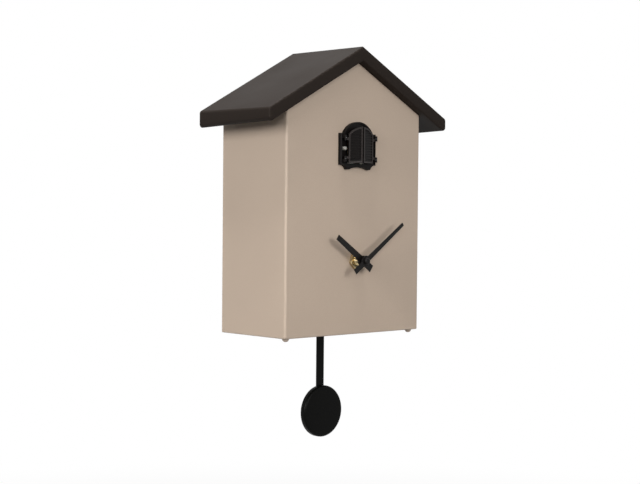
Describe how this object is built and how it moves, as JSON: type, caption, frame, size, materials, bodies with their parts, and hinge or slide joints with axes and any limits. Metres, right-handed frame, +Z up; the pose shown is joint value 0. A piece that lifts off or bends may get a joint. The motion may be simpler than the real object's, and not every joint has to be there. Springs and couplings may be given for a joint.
{
  "type": "cuckoo clock",
  "caption": "Wall-hung house-shaped cuckoo clock with gable roof, baton hands, louvred bird doors that open as the bird slides out, and a swinging disc pendulum.",
  "frame": {"origin": "centre of the keyhole's round hole, on the rear face of the rear cover", "axes": "+X right as seen from the front, +Y back towards the wall, +Z up"},
  "size_m": [0.2148, 0.0996, 0.345],
  "materials": {
    "case_plastic": "satin moulded taupe",
    "roof_plastic": "satin moulded charcoal",
    "cover_plastic": "fine textured black",
    "window_plastic": "semi-matt black",
    "hand_metal": "semi-matt black paint",
    "pendulum_plastic": "semi-matt black",
    "foot_rubber": "soft matt",
    "bush_brass": "turned",
    "plain_steel": "zinc plated",
    "mechanism_plastic": "natural white",
    "movement_plastic": "moulded black",
    "sensor_lens": "milky clear",
    "bird_body": "painted brown",
    "bird_wing": "painted dark brown",
    "bird_beak": "painted yellow",
    "circuit_board": "solder mask green",
    "motor_steel": "drawn can",
    "cell_jacket": "plain jacket",
    "magnet_iron": "nickel grey",
    "coil_copper": "enamelled copper",
    "lead_sleeve": "smooth sleeve",
    "cone_paper": "pressed paper"
  },
  "bodies": {
    "case": {"house_body": "case_plastic", "roof_shell": "roof_plastic", "bumper_feet": "foot_rubber", "rear_cover": "cover_plastic", "cover_screws": "plain_steel", "pan_head_screws": "plain_steel", "battery_tray": "cover_plastic", "battery_cells": "cell_jacket", "battery_contacts": "plain_steel", "window_frame": "window_plastic", "light_sensor": "sensor_lens", "door_pins": "plain_steel", "cuckoo_chassis": "mechanism_plastic", "gear_plate": "mechanism_plastic", "drive_motor": "motor_steel", "movement_case_front": "movement_plastic", "movement_case_rear": "movement_plastic", "threaded_bush": "bush_brass", "bush_washer": "plain_steel", "bush_nut": "bush_brass", "stepper_motor": "motor_steel", "movement_board": "circuit_board", "pendulum_bracket": "mechanism_plastic", "pendulum_pin": "plain_steel", "drive_coil": "coil_copper", "speaker_basket": "plain_steel", "speaker_cone": "cone_paper", "speaker_magnet": "magnet_iron", "main_board": "circuit_board", "board_components": "movement_plastic", "lead_wires": "lead_sleeve"},
    "minute": {"minute_arbor": "movement_plastic", "minute_hand": "hand_metal", "hand_cap": "hand_metal"},
    "hour": {"hour_wheel": "movement_plastic", "hour_hand": "hand_metal"},
    "motion": {"motion_wheel": "mechanism_plastic", "setting_knob": "movement_plastic"},
    "third": {"third_wheel": "mechanism_plastic"},
    "stepper": {"stepper_pinion": "mechanism_plastic"},
    "pendulum": {"pendulum_hanger": "mechanism_plastic", "hook_pin": "plain_steel", "pendulum_magnet": "magnet_iron", "pendulum_rod": "pendulum_plastic", "pendulum_bob": "pendulum_plastic"},
    "bird": {"bird_carriage": "mechanism_plastic", "cuckoo_bird": "bird_body", "bird_wings": "bird_wing", "bird_beak": "bird_beak"},
    "left_leaf": {"left_door": "window_plastic"},
    "right_leaf": {"right_door": "window_plastic"},
    "gearbox_wheel": {"drive_gear": "mechanism_plastic"},
    "gearbox_pinion": {"motor_pinion": "bush_brass"},
    "battery_lid": {"battery_door": "cover_plastic"},
    "mode_switch": {"mode_slider": "movement_plastic"},
    "volume_control": {"volume_knob": "movement_plastic"},
    "test_switch": {"test_button": "movement_plastic"}
  },
  "joints": [
    {"name": "minute_turn", "type": "hinge", "parent": "case", "child": "minute", "pos_m": [0, -0.0765, -0.1258], "axis": [0, 1, 0], "continuous": true},
    {"name": "hour_turn", "type": "hinge", "parent": "case", "child": "hour", "pos_m": [0, -0.0765, -0.1258], "axis": [0, 1, 0], "continuous": true},
    {"name": "motion_turn", "type": "hinge", "parent": "case", "child": "motion", "pos_m": [-0.00853, -0.074, -0.13433], "axis": [0, 1, 0], "continuous": true},
    {"name": "third_turn", "type": "hinge", "parent": "case", "child": "third", "pos_m": [0.00853, -0.074, -0.11727], "axis": [0, 1, 0], "continuous": true},
    {"name": "stepper_turn", "type": "hinge", "parent": "case", "child": "stepper", "pos_m": [0.02059, -0.074, -0.11727], "axis": [0, 1, 0], "continuous": true},
    {"name": "pendulum_swing", "type": "hinge", "parent": "case", "child": "pendulum", "pos_m": [0, -0.0332, -0.154], "axis": [0, 1, 0], "range_deg": [-7, 7]},
    {"name": "bird_slide", "type": "slide", "parent": "case", "child": "bird", "axis": [0, -1, 0], "range_m": [0, 0.034]},
    {"name": "left_door_swing", "type": "hinge", "parent": "case", "child": "left_leaf", "pos_m": [-0.0186, -0.0827, -0.0408], "axis": [0, 0, -1], "range_deg": [0, 76]},
    {"name": "right_door_swing", "type": "hinge", "parent": "case", "child": "right_leaf", "pos_m": [0.0186, -0.0827, -0.0408], "axis": [0, 0, 1], "range_deg": [0, 76]},
    {"name": "gearbox_wheel_turn", "type": "hinge", "parent": "case", "child": "gearbox_wheel", "pos_m": [0.01386, -0.06028, -0.0469], "axis": [0, 0, 1], "range_deg": [0, 406.8]},
    {"name": "gearbox_pinion_turn", "type": "hinge", "parent": "case", "child": "gearbox_pinion", "pos_m": [0.01386, -0.04582, -0.0469], "axis": [0, 0, 1], "range_deg": [-1218.5, 0]},
    {"name": "battery_lid_lift", "type": "slide", "parent": "case", "child": "battery_lid", "axis": [0, 1, 0], "range_m": [0, 0.03]},
    {"name": "mode_switch_slide", "type": "slide", "parent": "case", "child": "mode_switch", "axis": [1, 0, 0], "range_m": [-0.002, 0.002]},
    {"name": "volume_turn", "type": "hinge", "parent": "case", "child": "volume_control", "pos_m": [-0.03, 0, -0.124], "axis": [0, 1, 0], "range_deg": [-135, 135]},
    {"name": "test_press", "type": "slide", "parent": "case", "child": "test_switch", "axis": [0, -1, 0], "range_m": [0, 0.001], "stiffness_N_per_m": 400}
  ],
  "couplings": [
    {"joint": "hour_turn", "follows": "minute_turn", "ratio": 0.083333},
    {"joint": "motion_turn", "follows": "minute_turn", "ratio": -0.33333},
    {"joint": "third_turn", "follows": "minute_turn", "ratio": -4},
    {"joint": "stepper_turn", "follows": "minute_turn", "ratio": 16},
    {"joint": "left_door_swing", "follows": "bird_slide", "rad_per_m": 39.013},
    {"joint": "right_door_swing", "follows": "bird_slide", "rad_per_m": 39.013},
    {"joint": "gearbox_wheel_turn", "follows": "bird_slide", "rad_per_m": 208.33},
    {"joint": "gearbox_pinion_turn", "follows": "bird_slide", "rad_per_m": -625}
  ]
}
